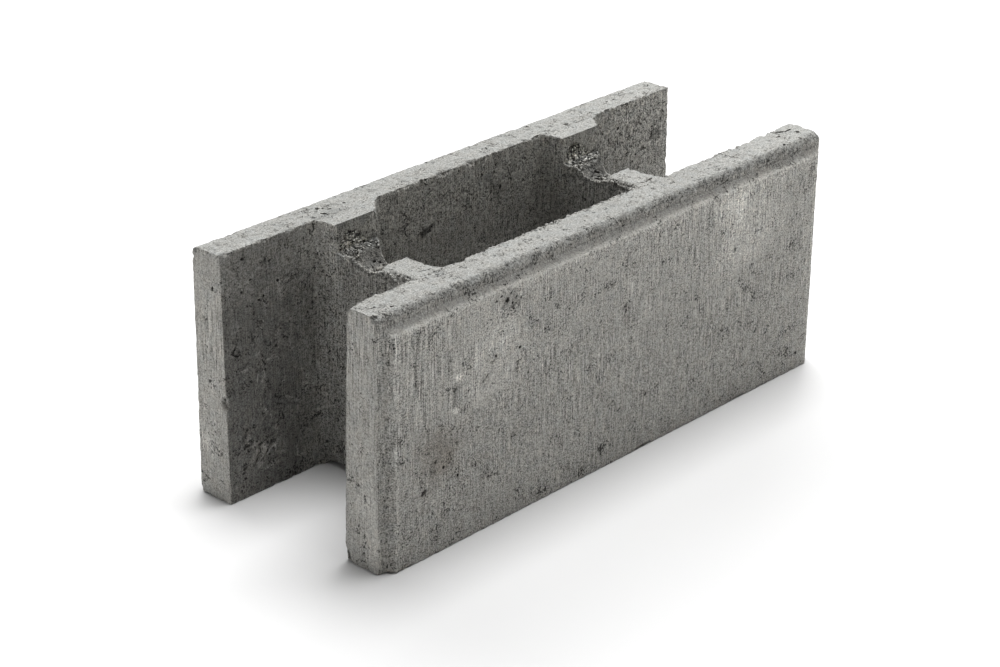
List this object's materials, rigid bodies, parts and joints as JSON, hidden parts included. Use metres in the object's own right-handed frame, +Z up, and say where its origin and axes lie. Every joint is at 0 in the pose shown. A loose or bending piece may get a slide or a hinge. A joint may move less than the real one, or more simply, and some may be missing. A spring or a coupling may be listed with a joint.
{
  "type": "concrete formwork block",
  "caption": "Hollow concrete shuttering block: parallel face shells joined by cross webs with lowered, notched tops, open at both ends and top to bottom.",
  "frame": {"origin": "middle of the footprint, on the bed that the block stands on", "axes": "+X along the block, +Y from the front shell to the rear shell, +Z up"},
  "size_m": [0.5, 0.198, 0.197],
  "materials": {
    "concrete": "rough pressed concrete"
  },
  "bodies": {
    "root": {"formwork_block": "concrete"}
  },
  "joints": []
}
